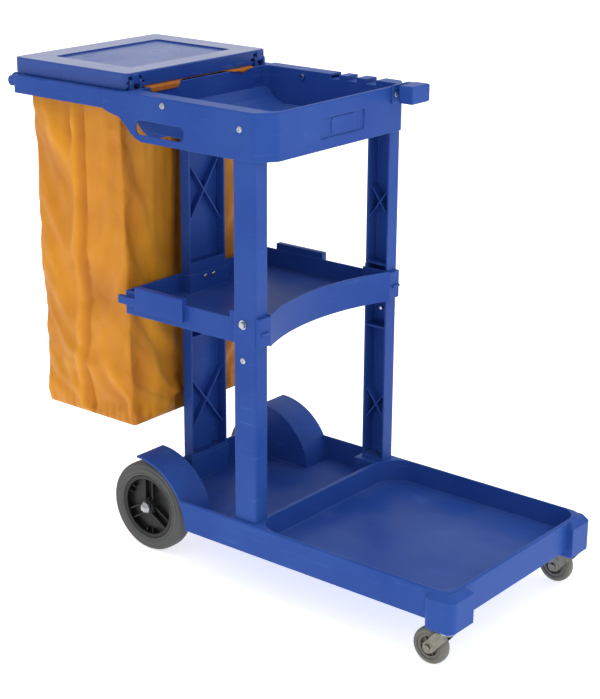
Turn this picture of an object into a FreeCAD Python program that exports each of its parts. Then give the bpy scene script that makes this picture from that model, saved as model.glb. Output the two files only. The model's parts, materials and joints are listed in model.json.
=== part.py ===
import FreeCAD, Part
import math
import os

# Housekeeping cart. Millimetres, +X towards the bucket platform, +Y to the cart's left, +Z up.
# Every place is measured from the front faces of the two front posts (x), the middle plane (y)
# and the floor (z). save() then moves the piece so that the origin is under the cart's middle.

# ---- driving dimensions ----
wall = 4.0                    # moulded wall thickness
half_width = 245.0            # platform half width
pod_half_width = 256.0        # caster pods stand proud of the platform
pod_inner = 182.0
pod_rear = 430.0
platform_front = 482.0
pod_front = 497.0
rear_face = -362.0            # back of the platform, the column and the shelf
skirt_bottom = 98.0
rim_top = 163.0
recess_floor = 114.0          # bucket recess
deck_floor = 108.0            # deck between the wheel arches

post_width = 57.0             # along x
post_outer = 235.0            # outer face of the posts
post_inner = 199.0            # open edge of the posts
post_wall = 4.0
column_half = 57.0
column_depth = 27.0

shelf_bottom = 538.0
shelf_floor = 547.0
shelf_rim = 588.0
apron_top = 603.0
apron_end = 9.0               # x of the apron at its ends
apron_middle = -31.0          # x of the apron at the middle plane
shelf_half = 225.0

tray_bottom = 912.0
tray_floor = 928.0
tray_top = 1007.0
tray_front = 28.0
tray_rear = -345.0
tray_half = 238.0
bin_half = 200.0

frame_bottom = 967.0          # bag frame
frame_top = 1004.0
frame_rear = -671.0
frame_half = 235.0
ring_rear = -655.0            # opening of the bag frame
ring_front = -386.0
ring_half = 206.0

lid_top = 1039.0
lid_bottom = 1005.0
lid_end_bottom = 1009.0       # front and rear skirts stop higher, clear of the hem and the handle
lid_rear = -684.0
lid_front = -352.0
lid_half = 216.0
hinge_x = -354.0
hinge_z = 1019.0
pin_radius = 3.0

handle_radius = 16.0
handle_x = -682.0
handle_z = 990.0
handle_half = 228.0

wheel_radius = 100.0
wheel_width = 40.0
wheel_outer = 211.0           # outer face of the rear wheels
axle_x = -330.0
axle_radius = 6.35
hub_radius = 71.0
arch_radius = 138.0
arch_x = -322.0
arch_z = 94.0
arch_inner = 168.0            # inner wall of the wheel wells

caster_radius = 38.0
caster_width = 22.0
caster_x = 471.0              # swivel axis
caster_y = 229.0
caster_trail = 36.0
pod_bottom = 81.0
race_top = 81.0
fork_top = 76.0
running_gap = 0.05            # radial clearance of a shaft in its hole

foot_screw_places = [(-28, 217), (-28, -217), (-350, 34), (-350, -34)]
column_screw_ys = (-13, 13)
column_screw_z = 577.0
handle_screw_ys = (-170, 0, 170)
hook_screw_places = [(170, 990), (190, 990)]
shelf_bolt_x = -32.0
shelf_bolt_z = 583.0
post_screw_z = 508.0
tray_bolt_x = -36.0
tray_bolt_z = 972.0
frame_bolt_x = -236.0
frame_bolt_z = 992.0

overall_rear = handle_x - handle_radius
middle_x = (pod_front + overall_rear) / 2.0
sides = {"left": 1, "right": -1}


def box(x0, x1, y0, y1, z0, z1):
    return Part.makeBox(x1 - x0, y1 - y0, z1 - z0, FreeCAD.Vector(x0, y0, z0))


def side_box(side, x0, x1, y0, y1, z0, z1):
    """A box given for the left side (+Y), or its mirror image on the right side."""
    if side > 0:
        return box(x0, x1, y0, y1, z0, z1)
    return box(x0, x1, -y1, -y0, z0, z1)


def rod(radius, length, start, direction):
    return Part.makeCylinder(radius, length, FreeCAD.Vector(*start), FreeCAD.Vector(*direction))


def tube(outer, inner, length, start, direction):
    return rod(outer, length, start, direction).cut(rod(inner, length, start, direction))


def join(shapes):
    result = shapes[0]
    for shape in shapes[1:]:
        result = result.fuse(shape)
    return result.removeSplitter()


def cut_all(shape, tools):
    for tool in tools:
        shape = shape.cut(tool)
    return shape


def both(make):
    """One compound of a piece and its twin on the other side."""
    return Part.makeCompound([make(1), make(-1)])


def save(name, shape):
    moved = shape.copy()
    moved.translate(FreeCAD.Vector(-middle_x, 0, 0))
    moved.exportStep("parts/" + name + ".step")


def is_upright(edge):
    bounds = edge.BoundBox
    return bounds.XLength < 0.01 and bounds.YLength < 0.01 and bounds.ZLength > 1.0


def round_upright(shape, radius, x_range, y_min=0.0):
    """Rounds the upright edges whose x lies in the range and whose |y| is at least y_min."""
    chosen = []
    for edge in shape.Edges:
        centre = edge.BoundBox.Center
        if is_upright(edge) and x_range[0] <= centre.x <= x_range[1] and abs(centre.y) >= y_min:
            chosen.append(edge)
    return shape.makeFillet(radius, chosen)


def round_level(shape, radius, z, inside):
    """Rounds the level edges at height z whose centre passes the test."""
    chosen = []
    for edge in shape.Edges:
        bounds = edge.BoundBox
        level = bounds.ZLength < 0.01 and abs(bounds.ZMin - z) < 0.01
        if level and inside(bounds.Center):
            chosen.append(edge)
    return shape.makeFillet(radius, chosen)


def prism(points, z0, z1):
    """A straight prism on a plan outline of (x, y) points."""
    corners = [FreeCAD.Vector(x, y, z0) for x, y in points]
    outline = Part.makePolygon(corners + [corners[0]])
    return Part.Face(outline).extrude(FreeCAD.Vector(0, 0, z1 - z0))


def profile_y(points, y0, y1):
    """A straight prism along y on an outline of (x, z) points."""
    corners = [FreeCAD.Vector(x, y0, z) for x, z in points]
    outline = Part.makePolygon(corners + [corners[0]])
    return Part.Face(outline).extrude(FreeCAD.Vector(0, y1 - y0, 0))


def rounded_block(x0, x1, half, z0, z1, rear_radius, front_radius):
    block = box(x0, x1, -half, half, z0, z1)
    if rear_radius > 0:
        block = round_upright(block, rear_radius, (x0 - 1, x0 + 1))
    if front_radius > 0:
        block = round_upright(block, front_radius, (x1 - 1, x1 + 1))
    return block


def lathe(points, centre, direction):
    """Turns (radius, distance) points about an axis; distance runs along the direction."""
    corners = [FreeCAD.Vector(r, 0, d) for r, d in points]
    face = Part.Face(Part.makePolygon(corners + [corners[0]]))
    turned = face.revolve(FreeCAD.Vector(0, 0, 0), FreeCAD.Vector(0, 0, 1), 360)
    place = FreeCAD.Rotation(FreeCAD.Vector(0, 0, 1), FreeCAD.Vector(*direction))
    turned.Placement = FreeCAD.Placement(FreeCAD.Vector(*centre), place)
    return turned


# ---- platform ----
def caster_pod(side):
    pod = side_box(side, pod_rear, pod_front, pod_inner, pod_half_width, pod_bottom, rim_top - 3)
    pod = round_upright(pod, 17, (pod_front - 1, pod_front + 1), 200)
    pod = round_upright(pod, 13, (pod_rear - 1, pod_rear + 1), 200)
    pod = pod.makeChamfer(5, [e for e in pod.Edges if abs(e.BoundBox.ZMax - pod_bottom) < 0.01])
    return pod.makeChamfer(12, [e for e in pod.Edges if abs(e.BoundBox.ZMin - (rim_top - 3)) < 0.01])


def post_land(side):
    """The socket block that a front post stands on, with its triangular front land."""
    return side_box(side, -66, 40, 182, 240, recess_floor - 1, rim_top)


def wheel_arch(side):
    outside = rod(arch_radius, half_width - arch_inner + wall, (arch_x, 0, arch_z), (0, side, 0))
    outside.translate(FreeCAD.Vector(0, side * (arch_inner - wall), 0))
    behind = box(-600, -324, -300, 300, -200, 400)
    below = box(-600, 0, -300, 300, -200, skirt_bottom)
    return cut_all(outside, [behind, below])


def wheel_well(side):
    well = rod(arch_radius - wall, half_width - arch_inner + 20, (arch_x, 0, arch_z), (0, side, 0))
    well.translate(FreeCAD.Vector(0, side * arch_inner, 0))
    behind = side_box(side, -600, arch_x, arch_inner, 300, 0, arch_z + arch_radius - wall)
    return well.fuse(behind)


def base_platform():
    tub = rounded_block(rear_face, platform_front, half_width, skirt_bottom, rim_top, 0, 26)
    tub = round_level(tub, 4, rim_top, lambda centre: True)
    recess = rounded_block(-4, platform_front - 6, half_width - 6, recess_floor, 400, 60, 42)
    deck = box(rear_face + 8, -12, -half_width + 6, half_width - 6, deck_floor, 400)
    under_front = rounded_block(-4, platform_front - wall, half_width - wall, 0, recess_floor - wall, 0, 24)
    under_rear = box(rear_face + wall, -5, -half_width + wall, half_width - wall, 0, deck_floor - wall)
    tub = cut_all(tub, [recess, deck, under_front, under_rear])
    lands = [post_land(side).cut(recess) for side in sides.values()]
    arches = [wheel_arch(side) for side in sides.values()]
    ends = [round_arch_end(side) for side in sides.values()]
    pods = [caster_pod(side).cut(recess) for side in sides.values()]
    saddles = [box(axle_x - 18, axle_x + 18, y - 9, y + 9, 86, deck_floor) for y in (-140, 0, 140)]
    column_land = box(rear_face + 2, rear_face + column_depth + 2, -60, 60, deck_floor - 1, rim_top)
    body = join([tub, column_land] + lands + arches + ends + pods + saddles)
    wells = [wheel_well(side) for side in sides.values()]
    axle_hole = rod(axle_radius + 0.2, 600, (axle_x, -300, wheel_radius), (0, 1, 0))
    stem_holes = [rod(6.2, 60, (caster_x, side * caster_y, 60), (0, 0, 1)) for side in sides.values()]
    nut_pockets = [rod(13, 40, (caster_x, side * caster_y, 100), (0, 0, 1)) for side in sides.values()]
    nut_pockets = [pocket.cut(box(0, 600, -300, 300, recess_floor - wall, 200)) for pocket in nut_pockets]
    body = cut_all(body, wells + [axle_hole] + stem_holes + nut_pockets)
    hollow_pods = [side_box(side, 438, 452, 190, 212, 60, recess_floor - wall) for side in sides.values()]
    foot_holes = [rod(3.2, 90, (x, y, 90), (0, 0, 1)) for x, y in foot_screw_places]
    return cut_all(body, hollow_pods + foot_holes)


def round_arch_end(side):
    """The sloping gusset behind each arch, from its top down to the rear rim."""
    top = arch_z + arch_radius - 12
    outline = [(-324, top), (-324, rim_top - 10), (rear_face, rim_top - 10), (rear_face, rim_top + 12)]
    if side > 0:
        return profile_y(outline, arch_inner - wall, arch_inner)
    return profile_y(outline, -arch_inner, -arch_inner + wall)


# ---- uprights ----
def cross_ribs(start, end, z0, z1, thickness):
    """Outline points of the two diagonals of an X, as (across, height) bars."""
    half = thickness / 2.0
    rising = [(start, z0 - half), (end, z1 - half), (end, z1 + half), (start, z0 + half)]
    falling = [(start, z1 - half), (end, z0 - half), (end, z0 + half), (start, z1 + half)]
    return [rising, falling]


def front_post(side):
    z0 = rim_top
    z1 = tray_floor - wall
    shell = side_box(side, -post_width, 0, post_inner, post_outer, z0, z1)
    shell = round_upright(shell, 5, (-1, 1), post_outer - 1)
    shell = round_upright(shell, 5, (-post_width - 1, -post_width + 1), post_outer - 1)
    inner = post_outer - post_wall
    channel = side_box(side, -post_width + post_wall, -post_wall, 150, inner, z0 + 6, z1 - 6)
    body = shell.cut(channel)
    ledges = []
    for z in (612, 530, 470):
        ledges.append(side_box(side, -post_width + 2, -2, post_inner + 2, inner + 1, z, z + 4))
    ribs = []
    for low, high in ((255, 325), (713, 785)):
        for outline in cross_ribs(-post_width + 2, -2, low, high, 5):
            near = post_inner + 8
            rib = profile_y(outline, near, inner + 1) if side > 0 else profile_y(outline, -inner - 1, -near)
            ribs.append(rib)
    spigot = side_box(side, -post_width + 4, -4, post_inner + 7, post_outer - 0.5, z1 - 6, tray_top - 20)
    body = join([body] + ledges + ribs + [spigot])
    holes = []
    bolts = ((shelf_bolt_x, shelf_bolt_z), (shelf_bolt_x, post_screw_z), (tray_bolt_x, tray_bolt_z))
    for x, z in bolts:
        holes.append(rod(3.3, 60, (x, side * 190, z), (0, side, 0)))
    holes.append(rod(3.0, 20, (foot_screw_places[0][0], side * 217, z0 - 5), (0, 0, 1)))
    return cut_all(body, holes)


def rear_column():
    z0 = rim_top
    z1 = tray_bottom
    shell = box(rear_face, rear_face + column_depth, -column_half, column_half, z0, z1)
    shell = round_upright(shell, 4, (rear_face - 1, rear_face + 1))
    channel = box(rear_face + wall, 0, -column_half + wall, column_half - wall, z0 + 6, z1 - 6)
    body = shell.cut(channel)
    inner = column_half - 2
    pieces = [body, box(rear_face + 2, rear_face + column_depth, -inner, inner, 560, 612)]
    for z in (526, 440):
        pieces.append(box(rear_face + 2, rear_face + column_depth - 3, -inner, inner, z, z + 5))
    for low, high in ((218, 355), (690, 840)):
        for outline in cross_ribs(-inner, inner, low, high, 6):
            corners = [FreeCAD.Vector(rear_face + 2, y, z) for y, z in outline]
            face = Part.Face(Part.makePolygon(corners + [corners[0]]))
            pieces.append(face.extrude(FreeCAD.Vector(column_depth - 10, 0, 0)))
    body = join(pieces)
    start_x = rear_face + column_depth - 14
    holes = [rod(2.6, 16, (start_x, y, column_screw_z), (1, 0, 0)) for y in column_screw_ys]
    holes += [rod(3.0, 20, (x, y, z0 - 5), (0, 0, 1)) for x, y in foot_screw_places[2:]]
    return cut_all(body, holes)


# ---- shelf ----
def apron_outline(inset):
    """Plan outline of the shelf: notched round the posts and the column, concave in front."""
    gap = 0.3
    notch = post_inner - gap
    rear = rear_face + inset
    edge = shelf_half - inset
    col = column_half + gap + inset
    jog = rear_face + column_depth + gap + inset
    side_in = notch - inset
    behind = -post_width - gap - inset
    front = apron_end - inset
    points = [(front, side_in), (behind, side_in), (behind, edge), (rear, edge), (rear, col), (jog, col)]
    mirrored = [(x, -y) for x, y in reversed(points)]
    corners = [FreeCAD.Vector(x, y, 0) for x, y in points + mirrored]
    start = corners[-1]
    end = corners[0]
    arc = Part.Arc(start, FreeCAD.Vector(apron_middle - inset, 0, 0), end).toShape()
    return Part.Face(Part.Wire(Part.makePolygon(corners).Edges + [arc]))


def shelf_prism(inset, z0, z1):
    face = apron_outline(inset)
    face.translate(FreeCAD.Vector(0, 0, z0))
    return face.extrude(FreeCAD.Vector(0, 0, z1 - z0))


def shelf_flap(side):
    flap = side_box(side, -326, -194, shelf_half - 3, shelf_half + 11, 553, shelf_rim + 15)
    flap = flap.makeFillet(2, [edge for edge in flap.Edges if edge.BoundBox.ZLength < 0.01])
    prong = side_box(side, -378, -320, shelf_half - 1, shelf_half + 11, 561, 577)
    prong = round_upright(prong, 5, (-379, -377))
    return [flap, prong]


def middle_shelf():
    outer = shelf_prism(0, shelf_bottom, apron_top)
    lower_rim = box(rear_face - 50, -75, -300, 300, shelf_rim, 700)
    outer = outer.cut(lower_rim)
    pieces = [outer]
    for side in sides.values():
        pieces += shelf_flap(side)
        tab = side_box(side, 0.3, apron_end, post_inner - 1, 233, 541, 600)
        pieces.append(round_upright(tab, 3, (apron_end - 1, apron_end + 1), 232))
        pieces.append(side_box(side, apron_end - 1, apron_end + 5, 206, 228, 566, 571))
    body = join(pieces)
    hollow = shelf_prism(wall, shelf_floor, 700)
    under = shelf_prism(wall, 0, shelf_floor - wall)
    holes = [rod(2.9, 40, (rear_face + 20, y, column_screw_z), (1, 0, 0)) for y in column_screw_ys]
    for side in sides.values():
        holes.append(rod(3.3, 40, (shelf_bolt_x, side * 170, shelf_bolt_z), (0, side, 0)))
    return cut_all(body, [hollow, under] + holes)


# ---- top tray ----
def tray_outline(inset):
    front = tray_front - inset
    half = tray_half - inset
    rear = tray_rear + inset
    corner = 198 - inset * 0.4
    return [(front, -corner), (front, corner), (0, half), (rear, half), (rear, -half), (0, -half)]


# underside of the tray's back end, from the skirt up to the bag frame, as (x, z)
tray_curve = [(-296, 912), (-311, 917), (-325, 926), (-340, 942), (-356, 955), (-384, 961), (-400, 966)]


def tray_ear(side):
    """Cheek that laps over the end of the bag frame, with its curved underside."""
    outline = tray_curve + [(-400, 1004), (-296, 1004)]
    if side > 0:
        return profile_y(outline, frame_half + 0.3, tray_half)
    return profile_y(outline, -tray_half, -frame_half - 0.3)


def below_tray_curve(rise, run):
    """Everything below the curved underside, moved up and forward for the inner surfaces."""
    outline = [(x + run, z + rise) for x, z in tray_curve] + [(-420, 800), (-296 + run, 800)]
    return profile_y(outline, -300, 300)


def top_tray():
    outer = prism(tray_outline(0), tray_bottom, tray_top)
    outer = round_upright(outer, 14, (-1, tray_front + 1))
    outer = round_level(outer, 3, tray_top, lambda centre: True)
    bin_space = box(tray_rear + 6, tray_front - 6, -bin_half, bin_half, tray_floor, 1100)
    bin_space = round_upright(bin_space, 16, (-400, 100)).cut(below_tray_curve(tray_floor - tray_bottom, 6))
    under = prism(tray_outline(3), 800, tray_floor - wall)
    hollows = [side_box(side, tray_rear - 1, -2, bin_half + wall, post_outer, 800, tray_top - 5)
               for side in sides.values()]
    rear_slot = [side_box(side, -600, tray_rear + 4, bin_half + wall, post_outer, 800, tray_top - 5)
                 for side in sides.values()]
    under = under.cut(below_tray_curve(tray_floor - tray_bottom - wall, 2))
    body = cut_all(outer, [bin_space, under, below_tray_curve(0, 0)] + hollows + rear_slot)
    ears = [tray_ear(side) for side in sides.values()]
    body = join([body] + ears)
    # tool notches with two teeth in the left ledge
    notch_end = -40
    notches = [box(-160, -137, bin_half - 9, 300, tray_top - 10, 1100),
               box(-116, -90, bin_half - 9, 300, tray_top - 10, 1100),
               box(-66, notch_end, bin_half - 9, 300, tray_top - 10, 1100)]
    floor_strip = box(-164, notch_end + 4, bin_half, tray_half - 1, tray_top - 14, tray_top - 10)
    teeth = [box(x0, x1, bin_half, tray_half - 0.5, tray_top - 12, tray_top - 0.5)
             for x0, x1 in ((-137, -116), (-90, -66))]
    body = cut_all(body, notches)
    body = join([body, floor_strip] + teeth)
    # hand slots low in both side walls
    for side in sides.values():
        slot = side_box(side, -310, -180, post_outer - 1, tray_half + 1, 926, 956)
        corners = [e for e in slot.Edges if e.BoundBox.YLength > 3 and e.BoundBox.XLength < 0.01]
        slot = slot.makeFillet(12, corners)
        body = body.cut(slot)
        body = body.cut(rod(3.3, 20, (tray_bolt_x, side * 230, tray_bolt_z), (0, side, 0)))
        body = body.cut(rod(3.3, 55, (frame_bolt_x, side * 195, frame_bolt_z), (0, side, 0)))
    # grip pocket in the front face
    pocket = box(tray_front - 2.5, tray_front + 1, -72, 72, 934, 976)
    pocket = pocket.makeFillet(6, [e for e in pocket.Edges if e.BoundBox.XLength > 2])
    body = body.cut(pocket)
    tongue = box(tray_front - 4, tray_front - 0.5, -34, 40, 940, 972)
    tongue = tongue.makeFillet(5, [e for e in tongue.Edges if e.BoundBox.XLength > 2])
    holes = [rod(2.1, 40, (tray_front - 20, y, z), (1, 0, 0)) for y, z in hook_screw_places]
    return cut_all(join([body, tongue]), holes)


# ---- bag frame, handle, hook, lid ----
def bag_frame():
    ring = box(frame_rear, tray_rear - 0.3, -frame_half, frame_half, frame_bottom, frame_top)
    ring = round_upright(ring, 8, (frame_rear - 1, frame_rear + 1))
    opening = box(ring_rear, ring_front, -ring_half, ring_half, 900, 1100)
    opening = round_upright(opening, 4, (-700, -300))
    hollows = [box(ring_front + wall, tray_rear - wall, -ring_half, ring_half, 900, frame_top - wall)]
    for side in sides.values():
        hollows.append(side_box(side, ring_rear, tray_rear - wall, ring_half + wall, frame_half - wall,
                                900, frame_top - wall))
    ring = cut_all(ring, [opening] + hollows)
    ring = round_level(ring, 1.5, frame_top, lambda centre: abs(centre.y) > 1 or centre.x < -660)
    tongues = []
    for side in sides.values():
        tongues.append(side_box(side, -370, -210, bin_half + wall + 1, post_outer - 1, 976, 1000))
    lugs = []
    for side in sides.values():
        for inner in (176, 201):
            lug = side_box(side, hinge_x - 6, hinge_x + 6, inner, inner + 7, frame_top - 2, hinge_z)
            knuckle = rod(6, 7, (hinge_x, side * inner, hinge_z), (0, side, 0))
            lugs += [lug, knuckle]
    body = join([ring] + tongues + lugs)
    holes = [rod(2.2, 30, (frame_rear - 2, y, handle_z), (1, 0, 0)) for y in handle_screw_ys]
    for side in sides.values():
        holes.append(rod(pin_radius, 60, (hinge_x, side * 165, hinge_z), (0, side, 0)))
        holes.append(rod(3.3, 60, (frame_bolt_x, side * 190, frame_bolt_z), (0, side, 0)))
    return cut_all(body, holes)


def push_handle():
    bar = rod(handle_radius, 2 * handle_half - 16, (handle_x, -handle_half + 8, handle_z), (0, 1, 0))
    bar = bar.makeFillet(7.5, [edge for edge in bar.Edges if edge.Closed])
    for side in (1, -1):
        cap = rod(handle_radius - 5, 8, (handle_x, side * (handle_half - 8), handle_z), (0, side, 0))
        bar = bar.fuse(cap)
    pad = box(handle_x, frame_rear - 0.2, -200, 200, handle_z - 13, handle_z + 13)
    bar = bar.fuse(pad)
    bar = bar.cut(box(frame_rear - 0.2, -600, -300, 300, 900, 1100))
    holes = [rod(2.2, 9, (frame_rear - 8, y, handle_z), (1, 0, 0)) for y in handle_screw_ys]
    return cut_all(bar, holes)


def handle_hook():
    arm = box(tray_front + 0.3, 81, 207, 221, 978, 1010)
    plate = box(tray_front + 0.3, tray_front + 5, 160, 221, 972, 1010)
    block = box(46, 81, 162, 221, 975, 1012)
    block = block.makeFillet(3, block.Edges)
    groove = rod(15, 60, (46, 178, 940), (0, 0, 1)).cut(box(40, 47, 100, 300, 900, 1100))
    body = join([arm, plate, block])
    holes = [rod(2.2, 20, (tray_front, y, z), (1, 0, 0)) for y, z in hook_screw_places]
    return cut_all(body, [groove] + holes)


def lid():
    shell = box(lid_rear, lid_front, -lid_half, lid_half, lid_bottom, lid_top)
    shell = round_upright(shell, 12, (-700, -300))
    shell = round_level(shell, 3, lid_top, lambda centre: True)
    under = box(lid_rear + 3, lid_front - 3, -lid_half + 3, lid_half - 3, 900, lid_top - 7)
    under = round_upright(under, 9, (-700, -300))
    rear_gap = box(lid_rear - 1, lid_rear + 8, -300, 300, 900, lid_end_bottom)
    front_gap = box(lid_front - 6, lid_front + 1, -300, 300, 900, lid_end_bottom)
    panel = box(lid_rear + 62, lid_front - 52, -157, 157, lid_top - 3.5, 1100)
    panel = round_upright(panel, 8, (-700, -300))
    lug_slots = [side_box(side, hinge_x - 10, lid_front + 5, 174, 210, 900, lid_top - 7)
                 for side in sides.values()]
    body = cut_all(shell, [under, rear_gap, front_gap, panel] + lug_slots)
    ears = []
    for side in sides.values():
        ear = side_box(side, hinge_x - 9, hinge_x + 5, 183.5, 200.5, hinge_z, lid_top - 4)
        ears += [ear, rod(5, 17, (hinge_x, side * 183.5, hinge_z), (0, side, 0))]
    body = join([body] + ears)
    bore = pin_radius + running_gap
    bores = [rod(bore, 60, (hinge_x, side * 165, hinge_z), (0, side, 0)) for side in sides.values()]
    return cut_all(body, bores)


def hinge_pins():
    return both(lambda side: rod(pin_radius, 32, (hinge_x, side * 176, hinge_z), (0, side, 0)))


def bag():
    """Open-topped bag: hangs in the ring and laps over its front and rear bars."""
    top_z = frame_top + 0.3
    bottom_z = 270
    inset = 2.5

    def loop(x0, x1, half, z):
        corners = [FreeCAD.Vector(x, y, z) for x, y in ((x0, -half), (x1, -half), (x1, half), (x0, half))]
        return Part.makePolygon(corners + [corners[0]])

    outer_top = loop(ring_rear + 4, ring_front - 3, ring_half - 3, top_z)
    inner_top = loop(ring_rear + 4 + inset, ring_front - 3 - inset, ring_half - 3 - inset, top_z + 3)
    outer = Part.makeLoft([loop(-640, -378, 190, bottom_z), outer_top], True)
    inner_bottom = loop(-640 + inset, -378 - inset, 190 - inset, bottom_z + inset)
    inner = Part.makeLoft([inner_bottom, inner_top], True)
    hem = box(ring_rear - 8, ring_front + 24, -ring_half - 5, ring_half + 5, top_z, top_z + 2.2)
    return join([outer, hem]).cut(inner)


# ---- rear wheels ----
def rear_axle():
    return rod(axle_radius, 2 * 220, (axle_x, -220, wheel_radius), (0, 1, 0))


def wheel_start(side):
    return (axle_x, side * (wheel_outer - wheel_width), wheel_radius)


def rear_tyre(side):
    w = wheel_width
    points = [(hub_radius, 2), (hub_radius + 4, 0), (92, 0), (97, 3), (99.3, 9), (wheel_radius, w / 2),
              (99.3, w - 9), (97, w - 3), (92, w), (hub_radius + 4, w), (hub_radius, w - 2)]
    return lathe(points, wheel_start(side), (0, side, 0))


def rear_hub(side):
    w = wheel_width
    rim_points = [(62, 3), (hub_radius, 3), (hub_radius, w - 3), (62, w - 3)]
    rim = lathe(rim_points, wheel_start(side), (0, side, 0))
    disc = lathe([(14, 18), (63, 18), (63, 23), (14, 23)], wheel_start(side), (0, side, 0))
    boss = lathe([(axle_radius + running_gap, 0), (17, 0), (17, w + 2), (axle_radius + running_gap, w + 2)],
                 wheel_start(side), (0, side, 0))
    pieces = [rim, disc, boss]
    y0, y1 = sorted((side * (wheel_outer - wheel_width + 6), side * (wheel_outer - 7)))
    for step in range(3):
        for offset in (-10.5, 10.5):            # each spoke is a pair of ribs
            rib = Part.makeBox(50.5, y1 - y0, 3.2, FreeCAD.Vector(12, y0, offset - 1.6))
            rib.rotate(FreeCAD.Vector(0, 0, 0), FreeCAD.Vector(0, 1, 0), 120.0 * step - 90)
            rib.translate(FreeCAD.Vector(axle_x, 0, wheel_radius))
            pieces.append(rib)
    return join(pieces)


def axle_washers():
    def pair(side):
        inner = tube(14, axle_radius, 2, (axle_x, side * (arch_inner + 0.4), wheel_radius), (0, side, 0))
        outer = tube(13, axle_radius, 1.5, (axle_x, side * (wheel_outer + 2.4), wheel_radius), (0, side, 0))
        return Part.makeCompound([inner, outer])
    return both(pair)


def axle_caps():
    def cap(side):
        start = (axle_x, side * (wheel_outer + 4), wheel_radius)
        bore = axle_radius
        points = [(0, 10), (0, 5), (bore, 5), (bore, 0), (12, 0), (12, 3), (9, 7), (5, 10)]
        return lathe(points, start, (0, side, 0))
    return both(cap)


# ---- casters ----
def caster_stem(side):
    centre = (caster_x, side * caster_y)
    stem = rod(6, 34, (centre[0], centre[1], 70), (0, 0, 1))
    head = rod(8.5, 2.5, (centre[0], centre[1], 69.5), (0, 0, 1))
    nut_corners = []
    for step in range(6):
        angle = math.radians(60 * step)
        nut_corners.append((centre[0] + 10.9 * math.cos(angle), centre[1] + 10.9 * math.sin(angle)))
    return join([stem, head, prism(nut_corners, 100.2, 108)])


def caster_race(side):
    start = (caster_x, side * caster_y, 0)
    points = [(6.2, race_top), (6.2, 79), (15.5, 79), (15.5, fork_top + 0.3), (17.6, fork_top + 0.3),
              (18.3, 78), (18.3, 80), (17.3, race_top)]
    return lathe(points, start, (0, 0, 1))


def caster_balls(side):
    balls = []
    for step in range(12):
        angle = math.radians(30 * step)
        x = caster_x + 12.6 * math.cos(angle)
        y = side * caster_y + 12.6 * math.sin(angle)
        balls.append(Part.makeSphere(1.15, FreeCAD.Vector(x, y, 77.5)))
    return Part.makeCompound(balls)


def caster_fork(side):
    y = side * caster_y
    wheel_x = caster_x - caster_trail
    pieces = [rod(15, 3, (caster_x, y, fork_top - 3), (0, 0, 1))]
    for leg in (-1, 1):
        outline = [(caster_x - 17, fork_top), (caster_x + 8, fork_top), (caster_x + 9, 68),
                   (wheel_x + 13, 31), (wheel_x + 5, 26), (wheel_x - 5, 26), (wheel_x - 10, 33),
                   (wheel_x - 9, 44)]
        y0, y1 = sorted((y + leg * 14, y + leg * 16.5))
        pieces.append(profile_y(outline, y0, y1))
    pieces.append(box(caster_x - 17, caster_x + 8, y - 16.5, y + 16.5, fork_top - 3, fork_top))
    body = join(pieces)
    stem_hole = rod(6.3, 20, (caster_x, y, 60), (0, 0, 1))
    head_room = rod(9, 3.2, (caster_x, y, 69), (0, 0, 1))
    axle_hole = rod(4, 60, (wheel_x, y - 30, caster_radius), (0, 1, 0))
    return cut_all(body, [stem_hole, head_room, axle_hole])


def caster_axle(side):
    x = caster_x - caster_trail
    y = side * caster_y
    shank = rod(4, 35, (x, y - 17.5, caster_radius), (0, 1, 0))
    head = lathe([(0, 0), (7, 0), (7, 2), (5, 3.4), (0, 3.4)], (x, y - 16.6, caster_radius), (0, -1, 0))
    nut = lathe([(0, 0), (7, 0), (7, 2.4), (6, 3.4), (0, 3.4)], (x, y + 16.6, caster_radius), (0, 1, 0))
    return join([shank, head, nut])


def caster_core(side):
    x = caster_x - caster_trail
    start = (x, side * caster_y - caster_width / 2, caster_radius)
    w = caster_width
    bore = 4 + running_gap
    points = [(bore, -2), (9, -2), (9, 6), (20, 8), (20, 1.5), (27, 1.5), (27, w - 1.5), (20, w - 1.5),
              (20, w - 8), (9, w - 6), (9, w + 2), (bore, w + 2)]
    return lathe(points, start, (0, 1, 0))


def caster_tread(side):
    x = caster_x - caster_trail
    start = (x, side * caster_y - caster_width / 2, caster_radius)
    w = caster_width
    r = caster_radius
    points = [(27, 0), (r - 5, 0), (r - 1.5, 2), (r, 7), (r, w - 7), (r - 1.5, w - 2), (r - 5, w), (27, w)]
    return lathe(points, start, (0, 1, 0))


# ---- fasteners ----
def bolt(start, direction, shank_radius, length, head_radius, head_height):
    """A domed head outside the start point and a shank that runs back into the work."""
    back = tuple(-value for value in direction)
    shank = rod(shank_radius, length, start, back)
    dome = [(0, 0), (head_radius, 0), (head_radius, head_height * 0.5), (head_radius * 0.6, head_height),
            (0, head_height)]
    return shank.fuse(lathe(dome, start, direction))


def shelf_bolts():
    def one(side):
        centre = (shelf_bolt_x, side * post_outer, shelf_bolt_z)
        hexagon = []
        for step in range(6):
            angle = math.radians(60 * step)
            offset = FreeCAD.Vector(7.5 * math.cos(angle), 0, 7.5 * math.sin(angle))
            hexagon.append(FreeCAD.Vector(*centre) + offset)
        head = Part.Face(Part.makePolygon(hexagon + [hexagon[0]])).extrude(FreeCAD.Vector(0, side * 5.5, 0))
        shank = rod(3.1, 46, centre, (0, -side, 0))
        washer = rod(9.5, 1.2, centre, (0, side, 0))
        return join([head, shank, washer])
    return both(one)


def post_screws():
    def one(side):
        return bolt((shelf_bolt_x, side * post_outer, post_screw_z), (0, side, 0), 3.1, 14, 6.5, 2.4)
    return both(one)


def column_screws():
    face = rear_face + column_depth + 0.3 + wall
    places = [(face, y, column_screw_z) for y in column_screw_ys]
    return Part.makeCompound([bolt(place, (1, 0, 0), 2.4, 16, 5.5, 2.6) for place in places])


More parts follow.
